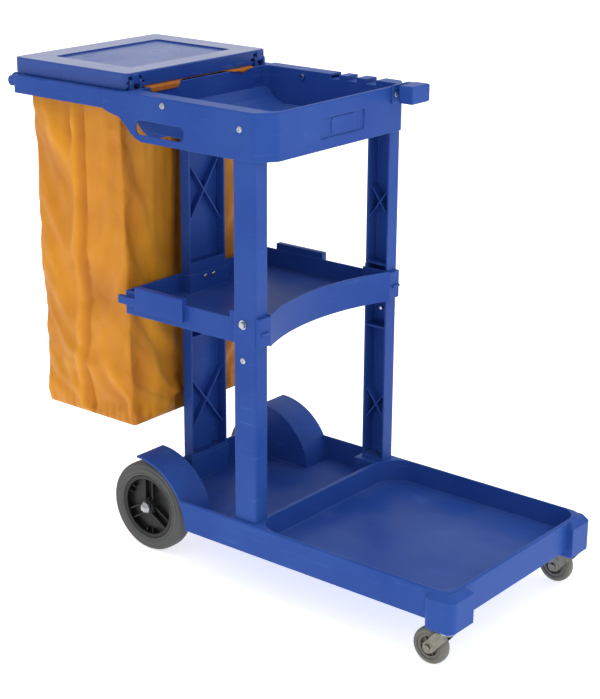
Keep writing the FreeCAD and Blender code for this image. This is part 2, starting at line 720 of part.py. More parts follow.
def tray_bolts():
    def one(side):
        return bolt((tray_bolt_x, side * tray_half, tray_bolt_z), (0, side, 0), 3.1, 20, 6.5, 2.6)
    return both(one)


def frame_bolts():
    def one(side):
        outside = bolt((frame_bolt_x, side * tray_half, frame_bolt_z), (0, side, 0), 3.1, 38, 6.5, 2.6)
        nut = rod(6.5, 3.5, (frame_bolt_x, side * bin_half, frame_bolt_z), (0, -side, 0))
        return outside.fuse(nut)
    return both(one)


def foot_screws():
    places = [(x, y, deck_floor - wall) for x, y in foot_screw_places]
    return Part.makeCompound([bolt(place, (0, 0, -1), 2.9, 70, 6.0, 3.0) for place in places])


def handle_screws():
    places = [(ring_rear, y, handle_z) for y in handle_screw_ys]
    return Part.makeCompound([bolt(place, (1, 0, 0), 2.0, 22, 4.5, 2.4) for place in places])


def hook_screws():
    places = [(tray_front + 5, y, z) for y, z in hook_screw_places]
    return Part.makeCompound([bolt(place, (1, 0, 0), 2.0, 10, 4.5, 2.4) for place in places])


os.makedirs("parts", exist_ok=True)

singles = [base_platform, rear_column, middle_shelf, top_tray, bag_frame, push_handle, handle_hook, lid,
           hinge_pins, bag, rear_axle, axle_washers, axle_caps, shelf_bolts, post_screws, column_screws,
           tray_bolts, frame_bolts, foot_screws, handle_screws, hook_screws]
for make in singles:
    save(make.__name__, make())

paired = [front_post, rear_tyre, rear_hub, caster_stem, caster_race, caster_balls, caster_fork, caster_axle,
          caster_core, caster_tread]
for make in paired:
    for word, side in sides.items():
        save(make.__name__ + "_" + word, make(side))
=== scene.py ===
import json
import math

import bmesh
import bpy
from mathutils import Matrix, Vector, noise


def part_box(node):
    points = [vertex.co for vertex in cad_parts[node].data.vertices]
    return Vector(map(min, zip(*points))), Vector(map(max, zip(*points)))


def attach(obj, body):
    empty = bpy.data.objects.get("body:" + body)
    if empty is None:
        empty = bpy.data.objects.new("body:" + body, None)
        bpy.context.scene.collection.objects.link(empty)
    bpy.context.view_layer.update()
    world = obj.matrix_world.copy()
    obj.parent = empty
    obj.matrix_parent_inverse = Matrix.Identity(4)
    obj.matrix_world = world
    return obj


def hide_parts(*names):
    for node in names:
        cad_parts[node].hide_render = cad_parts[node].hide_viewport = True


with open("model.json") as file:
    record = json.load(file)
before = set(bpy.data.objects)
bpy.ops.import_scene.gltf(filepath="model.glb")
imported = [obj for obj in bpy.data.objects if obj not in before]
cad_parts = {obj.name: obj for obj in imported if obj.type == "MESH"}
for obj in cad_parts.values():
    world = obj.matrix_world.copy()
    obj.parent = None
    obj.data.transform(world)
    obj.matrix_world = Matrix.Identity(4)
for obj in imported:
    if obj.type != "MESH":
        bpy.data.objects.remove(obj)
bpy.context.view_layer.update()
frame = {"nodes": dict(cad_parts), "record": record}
record = frame["record"]
jointPlaces = {joint["name"]: Vector(joint["pos_m"]) for joint in record["behaviour"]["joints"]}
slotOfNode = {part["node"]: part["material_slot"] for part in record["subparts"]}
print("frame loaded:", len(frame["nodes"]), "nodes")


def tint(red, green, blue):
    linear = [(c / 255 / 12.92) if c < 11 else ((c / 255 + 0.055) / 1.055) ** 2.4 for c in (red, green, blue)]
    return (*linear, 1.0)


def addNode(tree, kind, inputs=None, **settings):
    node = tree.nodes.new(kind)
    for name, value in settings.items():
        setattr(node, name, value)
    for name, value in (inputs or {}).items():
        if hasattr(value, "is_output"):
            tree.links.new(value, node.inputs[name])
        else:
            node.inputs[name].default_value = value
    return node


def startGroup(name, inputs, outputs):
    tree = bpy.data.node_groups.new(name, "ShaderNodeTree")
    for label, kind, value in inputs:
        socket = tree.interface.new_socket(name=label, in_out="INPUT", socket_type="NodeSocket" + kind)
        socket.default_value = value
    for label, kind in outputs:
        tree.interface.new_socket(name=label, in_out="OUTPUT", socket_type="NodeSocket" + kind)
    return tree, tree.nodes.new("NodeGroupInput"), tree.nodes.new("NodeGroupOutput")


def noiseMask(tree, coords, scale, low, high, detail=3.0, stretch=None):
    if stretch:
        coords = addNode(tree, "ShaderNodeMapping", {"Vector": coords, "Scale": stretch}).outputs["Vector"]
    spots = addNode(tree, "ShaderNodeTexNoise", {"Vector": coords, "Scale": scale, "Detail": detail})
    span = addNode(tree, "ShaderNodeMapRange",
                   {"Value": spots.outputs["Fac"], "From Min": low, "From Max": high})
    return span.outputs["Result"]


def calculate(tree, operation, first, second=None, third=None):
    node = tree.nodes.new("ShaderNodeMath")
    node.operation = operation
    for place, value in enumerate((first, second, third)):
        if value is None:
            continue
        if hasattr(value, "is_output"):
            tree.links.new(value, node.inputs[place])
        else:
            node.inputs[place].default_value = value
    return node.outputs[0]


def mixColour(tree, factor, first, second, kind="MIX"):
    node = tree.nodes.new("ShaderNodeMix")
    node.data_type = "RGBA"
    node.blend_type = kind
    for place, value in ((0, factor), (6, first), (7, second)):
        if hasattr(value, "is_output"):
            tree.links.new(value, node.inputs[place])
        else:
            node.inputs[place].default_value = value
    return node.outputs[2]


surfaceOutputs = [("Colour", "Color"), ("Roughness", "Float"), ("Height", "Float")]


def makeMouldGroup():
    tree, start, end = startGroup(
        "mouldedSurface",
        [("Colour", "Color", tint(40, 80, 160)), ("Wear And Glint Colour", "Color", tint(90, 130, 200)),
         ("Deep Colour", "Color", tint(18, 34, 110)), ("Dust Colour", "Color", tint(140, 150, 170)),
         ("Grain", "Float", 900.0), ("Base Roughness", "Float", 0.38), ("Edge Radius", "Float", 0.002)],
        surfaceOutputs + [("Normal", "Vector"), ("Upward", "Float")])
    coords = tree.nodes.new("ShaderNodeTexCoord")
    place = coords.outputs["Object"]
    clouds = noiseMask(tree, place, 5.0, 0.3, 0.7)
    flow = noiseMask(tree, place, 2.2, 0.35, 0.65, 4.0, (1.0, 1.0, 3.5))      # the mould's flow marks
    pebble = noiseMask(tree, place, start.outputs["Grain"], 0.25, 0.75, 1.0)
    scuffs = noiseMask(tree, place, 14.0, 0.62, 0.72, 6.0, (1.0, 1.0, 9.0))
    scratches = noiseMask(tree, place, 40.0, 0.66, 0.70, 2.0, (0.25, 4.0, 1.0))
    bevel = addNode(tree, "ShaderNodeBevel", {"Radius": start.outputs["Edge Radius"]}, samples=6)
    rounded = bevel.outputs["Normal"]
    faceNormal = tree.nodes.new("ShaderNodeNewGeometry").outputs["True Normal"]
    likeness = addNode(tree, "ShaderNodeVectorMath", operation="DOT_PRODUCT")
    tree.links.new(rounded, likeness.inputs[0])
    tree.links.new(faceNormal, likeness.inputs[1])
    bend = calculate(tree, "SUBTRACT", 1.0, likeness.outputs["Value"])
    edgeRange = addNode(tree, "ShaderNodeMapRange", {"Value": bend, "From Min": 0.01, "From Max": 0.2})
    edges = edgeRange.outputs["Result"]
    # edges lightened towards the wear colour: partly rubbed wear, partly a painted highlight along the edges
    edgeWearAndGlint = calculate(tree, "MULTIPLY", edges, noiseMask(tree, place, 22.0, 0.3, 0.62))
    upward = addNode(tree, "ShaderNodeSeparateXYZ", {"Vector": coords.outputs["Normal"]}).outputs["Z"]
    upRange = addNode(tree, "ShaderNodeMapRange", {"Value": upward, "From Min": 0.6, "From Max": 1.0})
    upFacing = upRange.outputs["Result"]
    dust = calculate(tree, "MULTIPLY", upFacing, noiseMask(tree, place, 9.0, 0.42, 0.8, 6.0))
    wearAndGlint = start.outputs["Wear And Glint Colour"]
    colour = mixColour(tree, calculate(tree, "MULTIPLY", clouds, 0.10), start.outputs["Colour"], wearAndGlint)
    colour = mixColour(tree, calculate(tree, "MULTIPLY", flow, 0.16), colour, start.outputs["Deep Colour"])
    # painted highlight along the edges, mixed with real rubbed wear
    colour = mixColour(tree, calculate(tree, "MULTIPLY", edgeWearAndGlint, 0.5), colour, wearAndGlint)
    colour = mixColour(tree, calculate(tree, "MULTIPLY", scuffs, 0.10), colour, wearAndGlint)
    colour = mixColour(tree, calculate(tree, "MULTIPLY", dust, 0.12), colour, start.outputs["Dust Colour"])
    tree.links.new(colour, end.inputs["Colour"])
    rough = calculate(tree, "MULTIPLY_ADD", clouds, 0.07, start.outputs["Base Roughness"])
    rough = calculate(tree, "MULTIPLY_ADD", scuffs, 0.12, rough)
    tree.links.new(calculate(tree, "MULTIPLY_ADD", dust, 0.12, rough), end.inputs["Roughness"])
    height = calculate(tree, "MULTIPLY_ADD", pebble, 0.6, calculate(tree, "MULTIPLY", scratches, -0.5))
    tree.links.new(height, end.inputs["Height"])
    tree.links.new(rounded, end.inputs["Normal"])
    tree.links.new(upFacing, end.inputs["Upward"])
    return tree


def makeMetalGroup():
    tree, start, end = startGroup(
        "platedMetal",
        [("Colour", "Color", tint(190, 192, 196)), ("Dull Colour", "Color", tint(120, 120, 118)),
         ("Spangle", "Float", 260.0), ("Base Roughness", "Float", 0.25)],
        surfaceOutputs)
    place = tree.nodes.new("ShaderNodeTexCoord").outputs["Object"]
    cells = addNode(tree, "ShaderNodeTexVoronoi", {"Vector": place, "Scale": start.outputs["Spangle"]})
    shade = addNode(tree, "ShaderNodeSeparateColor", {"Color": cells.outputs["Color"]}).outputs["Red"]
    stains = noiseMask(tree, place, 60.0, 0.48, 0.72, 5.0)
    fine = noiseMask(tree, place, 420.0, 0.3, 0.7, 2.0, (1.0, 6.0, 1.0))
    dull = start.outputs["Dull Colour"]
    colour = mixColour(tree, calculate(tree, "MULTIPLY", shade, 0.22), start.outputs["Colour"], dull)
    colour = mixColour(tree, calculate(tree, "MULTIPLY", stains, 0.45), colour, dull)
    tree.links.new(colour, end.inputs["Colour"])
    rough = calculate(tree, "MULTIPLY_ADD", shade, 0.08, start.outputs["Base Roughness"])
    tree.links.new(calculate(tree, "MULTIPLY_ADD", stains, 0.2, rough), end.inputs["Roughness"])
    height = calculate(tree, "MULTIPLY_ADD", shade, 0.2, calculate(tree, "MULTIPLY", fine, 0.8))
    tree.links.new(height, end.inputs["Height"])
    return tree


def makeRubberGroup():
    tree, start, end = startGroup(
        "wheelRubber",
        [("Colour", "Color", tint(85, 87, 86)), ("Dust Colour", "Color", tint(130, 128, 122)),
         ("Base Roughness", "Float", 0.6)],
        surfaceOutputs)
    place = tree.nodes.new("ShaderNodeTexCoord").outputs["Object"]
    speckle = noiseMask(tree, place, 1100.0, 0.35, 0.7, 1.0)
    clouds = noiseMask(tree, place, 35.0, 0.38, 0.72, 6.0)
    nicks = noiseMask(tree, place, 160.0, 0.64, 0.72, 3.0)
    dusty = calculate(tree, "MULTIPLY", clouds, 0.35)
    colour = mixColour(tree, dusty, start.outputs["Colour"], start.outputs["Dust Colour"])
    colour = mixColour(tree, calculate(tree, "MULTIPLY", nicks, 0.3), colour, tint(40, 40, 40))
    tree.links.new(colour, end.inputs["Colour"])
    rough = calculate(tree, "MULTIPLY_ADD", clouds, 0.2, start.outputs["Base Roughness"])
    tree.links.new(rough, end.inputs["Roughness"])
    height = calculate(tree, "MULTIPLY_ADD", nicks, -0.8, calculate(tree, "MULTIPLY", speckle, 0.5))
    tree.links.new(height, end.inputs["Height"])
    return tree


def makeVinylGroup():
    tree, start, end = startGroup(
        "coatedCloth",
        [("Colour", "Color", tint(222, 156, 48)), ("Deep Colour", "Color", tint(190, 110, 22)),
         ("Threads", "Float", 900.0), ("Base Roughness", "Float", 0.42), ("Seam Height", "Float", 0.30)],
        surfaceOutputs)
    coords = tree.nodes.new("ShaderNodeTexCoord")
    cloth = coords.outputs["UV"]
    place = coords.outputs["Object"]
    at = addNode(tree, "ShaderNodeSeparateXYZ", {"Vector": place})
    onSeam = calculate(tree, "COMPARE", at.outputs["Z"], start.outputs["Seam Height"], 0.0009)
    length = calculate(tree, "MULTIPLY", calculate(tree, "ADD", at.outputs["X"], at.outputs["Y"]), 1100.0)
    dashes = calculate(tree, "GREATER_THAN", calculate(tree, "SINE", length), -0.3)
    stitches = calculate(tree, "MULTIPLY", onSeam, dashes)
    across = addNode(tree, "ShaderNodeSeparateXYZ", {"Vector": cloth})
    waves = []
    for axis in ("X", "Y"):
        turn = calculate(tree, "MULTIPLY", across.outputs[axis], start.outputs["Threads"])
        waves.append(calculate(tree, "SINE", calculate(tree, "MULTIPLY", turn, math.tau)))
    weave = calculate(tree, "MULTIPLY", waves[0], waves[1])
    folds = addNode(tree, "ShaderNodeAttribute", attribute_name="paintedFoldShade").outputs["Fac"]
    clouds = noiseMask(tree, place, 7.0, 0.3, 0.7, 4.0)
    crinkle = noiseMask(tree, place, 38.0, 0.3, 0.75, 5.0, (1.0, 1.0, 0.45))
    grime = noiseMask(tree, place, 16.0, 0.55, 0.8, 6.0, (1.0, 1.0, 0.5))
    paintedHollowShade = calculate(tree, "SUBTRACT", 0.85, folds)      # painted shade in the fold hollows and a painted highlight on the ridges
    paintedHollowShade = calculate(tree, "MULTIPLY", calculate(tree, "MAXIMUM", paintedHollowShade, 0.0), 0.95)
    shade = calculate(tree, "MULTIPLY_ADD", clouds, 0.18, paintedHollowShade)
    deep = start.outputs["Deep Colour"]
    colour = mixColour(tree, shade, start.outputs["Colour"], deep)
    colour = mixColour(tree, calculate(tree, "MULTIPLY", crinkle, 0.12), colour, deep)
    colour = mixColour(tree, calculate(tree, "MULTIPLY", grime, 0.12), colour, tint(120, 84, 40))
    colour = mixColour(tree, calculate(tree, "MULTIPLY_ADD", weave, 0.06, 0.06), colour, deep)
    colour = mixColour(tree, calculate(tree, "MULTIPLY", stitches, 0.5), colour, tint(150, 92, 24))
    tree.links.new(colour, end.inputs["Colour"])
    rough = calculate(tree, "MULTIPLY_ADD", crinkle, 0.10, start.outputs["Base Roughness"])
    tree.links.new(calculate(tree, "MULTIPLY_ADD", clouds, 0.06, rough), end.inputs["Roughness"])
    tree.links.new(calculate(tree, "MULTIPLY_ADD", weave, 0.06, crinkle), end.inputs["Height"])
    return tree


surfaceGroups = {"moulded": makeMouldGroup(), "plated": makeMetalGroup(), "rubber": makeRubberGroup(),
                 "vinyl": makeVinylGroup()}


def makeMaterial(name, groupName, groupValues, shaderValues, bumpDistance, bumpStrength=0.6):
    material = bpy.data.materials.new(name)
    material.use_nodes = True
    tree = material.node_tree
    shader = tree.nodes["Principled BSDF"]
    surface = tree.nodes.new("ShaderNodeGroup")
    surface.node_tree = surfaceGroups[groupName]
    for label, value in groupValues.items():
        surface.inputs[label].default_value = value
    for label, value in shaderValues.items():
        shader.inputs[label].default_value = value
    bump = addNode(tree, "ShaderNodeBump",
                   {"Height": surface.outputs["Height"], "Strength": bumpStrength, "Distance": bumpDistance})
    if "Normal" in surface.outputs:
        tree.links.new(surface.outputs["Normal"], bump.inputs["Normal"])
    tree.links.new(surface.outputs["Colour"], shader.inputs["Base Color"])
    tree.links.new(surface.outputs["Roughness"], shader.inputs["Roughness"])
    tree.links.new(bump.outputs["Normal"], shader.inputs["Normal"])
    return material


finishes = {
    # in each moulded finish the wear colour also paints a highlight along the edges
    "bluePlastic": makeMaterial(
        "bluePlastic", "moulded",
        {"Colour": tint(34, 70, 150), "Wear And Glint Colour": tint(104, 146, 220), "Deep Colour": tint(30, 52, 128),
         "Base Roughness": 0.34},
        {"Specular IOR Level": 0.10}, 0.00012),
    "lidPlastic": makeMaterial(
        "lidPlastic", "moulded",
        {"Colour": tint(34, 70, 150), "Wear And Glint Colour": tint(80, 120, 196), "Deep Colour": tint(30, 50, 126),
         "Base Roughness": 0.24, "Grain": 500.0},
        {"Coat Weight": 1.0, "Coat Roughness": 0.06, "Coat IOR": 1.85, "Specular IOR Level": 0.25},
        0.00005, 0.3),
    "hubPlastic": makeMaterial(
        "hubPlastic", "moulded",
        {"Colour": tint(13, 13, 15), "Wear And Glint Colour": tint(44, 45, 48), "Deep Colour": tint(6, 6, 7),
         "Dust Colour": tint(60, 58, 54), "Base Roughness": 0.45, "Edge Radius": 0.001},
        {"Specular IOR Level": 0.45}, 0.0001),
    "casterCore": makeMaterial(
        "casterCore", "moulded",
        {"Colour": tint(96, 95, 88), "Wear And Glint Colour": tint(150, 148, 138), "Deep Colour": tint(60, 60, 54),
         "Dust Colour": tint(120, 112, 100), "Base Roughness": 0.4, "Edge Radius": 0.0006},
        {}, 0.00008),
    "tyreRubber": makeMaterial(
        "tyreRubber", "rubber", {"Colour": tint(70, 72, 71), "Dust Colour": tint(104, 104, 101)}, {}, 0.0002),
    "casterRubber": makeMaterial(
        "casterRubber", "rubber",
        {"Colour": tint(104, 102, 93), "Dust Colour": tint(74, 71, 64), "Base Roughness": 0.45}, {}, 0.00015),
    "chrome": makeMaterial(
        "chrome", "plated",
        {"Colour": tint(184, 187, 192), "Dull Colour": tint(120, 121, 122), "Base Roughness": 0.14},
        {"Metallic": 1.0}, 0.00003, 0.3),
    "zincPlate": makeMaterial(
        "zincPlate", "plated",
        {"Colour": tint(132, 130, 120), "Dull Colour": tint(78, 76, 68), "Base Roughness": 0.26},
        {"Metallic": 1.0}, 0.00004, 0.3),
    "bagVinyl": makeMaterial(
        "bagVinyl", "vinyl",
        {"Colour": tint(226, 152, 24), "Deep Colour": tint(164, 90, 10),
         "Seam Height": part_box("bag")[0].z + 0.010},
        {"Specular IOR Level": 0.30}, 0.0012, 0.5),
}


lidPolish = {
    "panelRear": 0.062,         # from the lid's rear, front and side edges in to its sunk panel
    "panelFront": 0.052,
    "panelSide": 0.060,
    "border": 0.48,             # clear coat on the border, and on the panel
    "panel": 0.06,
}


def polishLid():
    # only the lid's top is polished, and its sunk panel is left a little duller than its border
    low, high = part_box("lid")
    rear, front = low.x + lidPolish["panelRear"], high.x - lidPolish["panelFront"]
    tree = finishes["lidPlastic"].node_tree
    shader = tree.nodes["Principled BSDF"]
    surface = next(node for node in tree.nodes if node.type == "GROUP")
    coords = tree.nodes.new("ShaderNodeTexCoord").outputs["Object"]
    place = addNode(tree, "ShaderNodeSeparateXYZ", {"Vector": coords})
    fromMiddle = calculate(tree, "SUBTRACT", place.outputs["X"], (rear + front) / 2)
    lengthways = calculate(tree, "ABSOLUTE", fromMiddle)
    insideLength = calculate(tree, "LESS_THAN", lengthways, (front - rear) / 2)
    fromCentre = calculate(tree, "ABSOLUTE", place.outputs["Y"])
    insideWidth = calculate(tree, "LESS_THAN", fromCentre, high.y - lidPolish["panelSide"])
    inside = calculate(tree, "MULTIPLY", insideLength, insideWidth)
    duller = lidPolish["panel"] - lidPolish["border"]
    shine = calculate(tree, "MULTIPLY_ADD", inside, duller, lidPolish["border"])
    polish = calculate(tree, "MULTIPLY", surface.outputs["Upward"], shine)
    tree.links.new(polish, shader.inputs["Coat Weight"])


polishLid()
finishOfSlot = {"blue_plastic": "bluePlastic", "hub_plastic": "hubPlastic", "caster_core": "casterCore",
                "tyre": "tyreRubber", "caster_tread": "casterRubber", "chrome": "chrome", "zinc": "zincPlate",
                "bag_vinyl": "bagVinyl"}
finishOfNode = {"lid": "lidPlastic", "axle_caps": "chrome"}     # brighter than the rest of their slot
for nodeName, node in frame["nodes"].items():
    for place in range(len(node.data.materials)):
        node.material_slots[place].link = "OBJECT"
        finishName = finishOfNode.get(nodeName, finishOfSlot[slotOfNode[nodeName]])
        node.material_slots[place].material = finishes[finishName]
print("finishes made")


def finishPiece(name, shape, finish, body, smoothAngle=40.0):
    mesh = bpy.data.meshes.new(name)
    shape.to_mesh(mesh)
    shape.free()
    mesh.shade_smooth()
    mesh.set_sharp_from_angle(angle=math.radians(smoothAngle))
    mesh.materials.append(finishes[finish])
    piece = bpy.data.objects.new(name, mesh)
    bpy.context.scene.collection.objects.link(piece)
    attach(piece, body)
    return piece


def ringAboutY(shape, outline, centre, steps=96, closed=True):
    # outline holds (radius, distance along the axle) pairs
    corners = [shape.verts.new(centre + Vector((radius, along, 0))) for radius, along in outline]
    edges = [shape.edges.new(pair) for pair in zip(corners, corners[1:])]
    if closed:
        edges.append(shape.edges.new((corners[-1], corners[0])))
    bmesh.ops.spin(shape, geom=corners + edges, cent=centre, axis=(0, 1, 0), angle=math.tau, steps=steps,
                   use_merge=True)


weldGap = 0.00001                   # points closer than this are one point


def closeUp(shape):
    bmesh.ops.remove_doubles(shape, verts=shape.verts, dist=weldGap)
    bmesh.ops.recalc_face_normals(shape, faces=shape.faces)


def roundEdges(shape, edges, radius):
    bmesh.ops.bevel(shape, geom=edges, offset=radius, affect="EDGES", segments=2, profile=0.5, material=-1)


def addRib(shape, centre, angle, inner, outer, offset, thickness, width, along):
    # a rib from the inner to the outer radius, set beside its spoke line by the offset
    made = bmesh.ops.create_cube(shape, size=1.0)["verts"]
    size = Matrix.Diagonal((outer - inner, width, thickness, 1.0))
    place = Matrix.Translation(((inner + outer) / 2, along, offset))
    turn = Matrix.Translation(centre) @ Matrix.Rotation(angle, 4, "Y")
    bmesh.ops.transform(shape, matrix=turn @ place @ size, verts=made)
    edges = list({edge for corner in made for edge in corner.link_edges})
    roundEdges(shape, edges, 0.0007)


rearTyre = {"radius": 0.1, "inner": 0.0712, "halfWidth": 0.02, "grooveDepth": 0.0008}


def makeRearTyre(side):
    wheel = rearTyre
    half, radius, inner = wheel["halfWidth"], wheel["radius"], wheel["inner"]
    centre = jointPlaces["rear_wheel_" + side + "_spin"]
    deep = wheel["grooveDepth"]
    outline = [(inner, -half + 0.003), (inner + 0.0012, -half + 0.0008), (inner + 0.003, -half),
               (inner + 0.0052, -half), (inner + 0.0058, -half + deep), (inner + 0.0068, -half + deep),
               (inner + 0.0074, -half + 0.0001), (radius - 0.0125, -half), (radius - 0.0118, -half + deep),
               (radius - 0.0104, -half + deep), (radius - 0.0096, -half + 0.0003),
               (radius - 0.0052, -half + 0.0012), (radius - 0.0026, -half + 0.0032),
               (radius - 0.0010, -half + 0.0062), (radius - 0.0003, -half + 0.0100),
               (radius - 0.0001, -0.0052), (radius - deep, -0.0046),
               (radius - deep, -0.0038), (radius, -0.0032)]
    outline += [(across, -along) for across, along in reversed(outline)]
    shape = bmesh.new()
    ringAboutY(shape, outline, centre, 120)
    closeUp(shape)
    piece = finishPiece("tyre_" + side, shape, "tyreRubber", "rear_wheel_" + side, 50)
    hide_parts("rear_tyre_" + side)


rearHub = {
    "rim": 0.071,
    "rimInner": 0.0625,
    "boss": 0.0165,
    "bore": 0.0064,
    "ribs": 3,                  # pairs of ribs, each pair one spoke
    "ribSpread": 0.0105,        # from the middle of a spoke to each of its ribs
    "rib": (0.0032, 0.027),     # thickness and width
    "gusset": (0.0026, 0.025),
    "gussetLength": 0.009,
    "gussetTurn": 0.432,        # from a spoke to a gusset, as a share of the angle between spokes
    "outward": 0.0005,          # how far the ribs are set towards the wheel's outer face
}


def makeRearHub(side):
    hub = rearHub
    centre = jointPlaces["rear_wheel_" + side + "_spin"]
    outward = 1 if centre.y > 0 else -1
    shape = bmesh.new()
    rim = [(hub["rimInner"], -0.0168), (hub["rimInner"] + 0.0008, -0.0172), (hub["rim"] - 0.0008, -0.0172),
           (hub["rim"], -0.0164), (hub["rim"], 0.0164), (hub["rim"] - 0.0008, 0.0172),
           (hub["rimInner"] + 0.0008, 0.0172), (hub["rimInner"], 0.0166)]
    ringAboutY(shape, rim, centre, 96)
    ribInner, ribOuter = hub["boss"] - 0.002, hub["rimInner"] + 0.001
    dish = [(hub["boss"] - 0.001, -0.002), (0.03, -0.0026), (0.048, -0.0012), (ribOuter, -0.002),
            (ribOuter, 0.003), (0.048, 0.0036), (0.03, 0.0022), (hub["boss"] - 0.001, 0.003)]
    ringAboutY(shape, [(across, along * outward) for across, along in dish], centre, 96)
    boss = [(hub["bore"], -0.0198), (hub["boss"] - 0.001, -0.0198), (hub["boss"], -0.0188),
            (hub["boss"], 0.0186), (hub["boss"] - 0.0014, 0.0205), (0.0105, 0.0212), (hub["bore"], 0.0212)]
    ringAboutY(shape, [(across, along * outward) for across, along in boss], centre, 48)
    closeUp(shape)
    for step in range(hub["ribs"]):
        angle = math.tau * step / hub["ribs"] - math.radians(90)
        for spread in (-1, 1):
            addRib(shape, centre, angle, ribInner, ribOuter, spread * hub["ribSpread"], *hub["rib"],
                   outward * hub["outward"])
            turned = angle + spread * math.tau / hub["ribs"] * hub["gussetTurn"]
            addRib(shape, centre, turned, hub["rimInner"] - hub["gussetLength"], ribOuter, 0.0,
                   *hub["gusset"], outward * hub["outward"])
    piece = finishPiece("hub_" + side, shape, "hubPlastic", "rear_wheel_" + side, 40)
    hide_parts("rear_hub_" + side)


casterWheel = {
    "radius": 0.038,
    "treadInner": 0.027,
    "halfWidth": 0.011,
    "bore": 0.00405,
    "ribs": 6,
    "ribReach": (0.0085, 0.0205),       # inner and outer radius
    "rib": (0.0016, 0.0172),            # thickness and width
}


def makeCasterWheel(side):
    wheel = casterWheel
    centre = jointPlaces["caster_" + side + "_spin"]
    radius, half, inner = wheel["radius"], wheel["halfWidth"], wheel["treadInner"]
    body = "caster_wheel_" + side
    shape = bmesh.new()
    outline = [(inner, -half + 0.0004), (inner + 0.0006, -half), (radius - 0.0062, -half),
               (radius - 0.0045, -half + 0.0005), (radius - 0.0022, -half + 0.0020),
               (radius - 0.0008, -half + 0.0044), (radius - 0.0002, -0.0038)]
    outline += [(radius, 0.0)] + [(across, -along) for across, along in reversed(outline)]
    ringAboutY(shape, outline, centre, 72)
    closeUp(shape)
    tread = finishPiece("caster_tread_ring_" + side, shape, "casterRubber", body, 50)
    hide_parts("caster_tread_" + side)
    shape = bmesh.new()
    web = [(wheel["bore"], -0.013), (0.0082, -0.013), (0.009, -0.0124), (0.0092, -0.0052), (0.0196, -0.0034),
           (0.0202, -0.0092), (0.021, -0.0096), (0.0262, -0.0096), (inner, -0.009)]
    web += [(across, -along) for across, along in reversed(web)]
    ringAboutY(shape, web, centre, 72)
    closeUp(shape)
    for step in range(wheel["ribs"]):
        addRib(shape, centre, math.tau * step / wheel["ribs"], *wheel["ribReach"], 0.0, *wheel["rib"], 0.0)
    core = finishPiece("caster_wheel_core_" + side, shape, "casterCore", body, 40)
    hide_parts("caster_core_" + side)


def turnTowards(start, direction):
    aim = Vector(direction).normalized()
    return Matrix.Translation(start) @ aim.to_track_quat("Z", "Y").to_matrix().to_4x4()


def addSocketScrew(shape, start, direction, head, height, shank, length):
    # a domed head with a six-sided socket, and its plain shank
    fresh = bmesh.new()
    outline = [(0.0, -length), (shank, -length), (shank, 0.0), (head * 0.96, 0.0), (head, height * 0.12),
               (head, height * 0.38), (head * 0.93, height * 0.62), (head * 0.78, height * 0.84),
               (head * 0.6, height * 0.96), (head * 0.5, height)]
    corners = [fresh.verts.new((across, 0, up)) for across, up in outline]
    edges = [fresh.edges.new(pair) for pair in zip(corners, corners[1:])]
    bmesh.ops.spin(fresh, geom=corners + edges, cent=(0, 0, 0), axis=(0, 0, 1), angle=math.tau, steps=36,
                   use_merge=True)
    bmesh.ops.remove_doubles(fresh, verts=fresh.verts, dist=weldGap)
    rim = [edge for edge in fresh.edges if edge.is_boundary]
    hexagon = bmesh.ops.create_circle(fresh, segments=6, radius=head * 0.42)["verts"]
    bmesh.ops.translate(fresh, verts=hexagon, vec=(0, 0, height * 0.97))
    hexEdges = list({edge for corner in hexagon for edge in corner.link_edges})
    bmesh.ops.bridge_loops(fresh, edges=rim + hexEdges)
    sunk = bmesh.ops.extrude_edge_only(fresh, edges=hexEdges)["geom"]
    lower = [item for item in sunk if isinstance(item, bmesh.types.BMVert)]
    bmesh.ops.translate(fresh, verts=lower, vec=(0, 0, -height * 0.62))
    bmesh.ops.contextual_create(fresh, geom=[item for item in sunk if isinstance(item, bmesh.types.BMEdge)])
    bmesh.ops.recalc_face_normals(fresh, faces=fresh.faces)
    bmesh.ops.transform(fresh, matrix=turnTowards(start, direction), verts=fresh.verts)
    mergeInto(shape, fresh)


def mergeInto(shape, fresh):
    mesh = bpy.data.meshes.new("part")
    fresh.to_mesh(mesh)
    fresh.free()
    shape.from_mesh(mesh)
    bpy.data.meshes.remove(mesh)


hexWasher = {"radius": 0.0095, "thickness": 0.0012}     # under each shelf bolt's head


def addHexBolt(shape, start, direction, head, height, shank, length):
    thickness = hexWasher["thickness"]
    fresh = bmesh.new()
    made = bmesh.ops.create_cone(fresh, cap_ends=True, segments=6, radius1=head, radius2=head,
                                 depth=height - thickness)
    bmesh.ops.translate(fresh, verts=made["verts"], vec=(0, 0, (height + thickness) / 2))
    top = [edge for edge in fresh.edges if min(corner.co.z for corner in edge.verts) > height * 0.9]
    roundEdges(fresh, top, 0.0009)
    for radius, low, high in ((hexWasher["radius"], 0.0, thickness), (shank, -length, 0.0)):
        made = bmesh.ops.create_cone(fresh, cap_ends=True, segments=36, radius1=radius, radius2=radius,
                                     depth=high - low)
        bmesh.ops.translate(fresh, verts=made["verts"], vec=(0, 0, (low + high) / 2))
    bmesh.ops.transform(fresh, matrix=turnTowards(start, direction), verts=fresh.verts)
    mergeInto(shape, fresh)


screwKinds = {          # head radius, head height, shank radius and shank length in metres
    "shelf_bolts": (0.0075, 0.0055, 0.0031, 0.040), "post_screws": (0.0065, 0.0024, 0.0031, 0.012),
    "tray_bolts": (0.0065, 0.0026, 0.0031, 0.018), "frame_bolts": (0.0065, 0.0026, 0.0031, 0.034),
    "column_screws": (0.0055, 0.0026, 0.0024, 0.014), "hook_screws": (0.0045, 0.0024, 0.0020, 0.009),
    "handle_screws": (0.0045, 0.0024, 0.0020, 0.020)}


nut = {"height": 0.0035, "fromHead": 0.03975, "edge": 0.0006}       # the frame bolts' round nuts


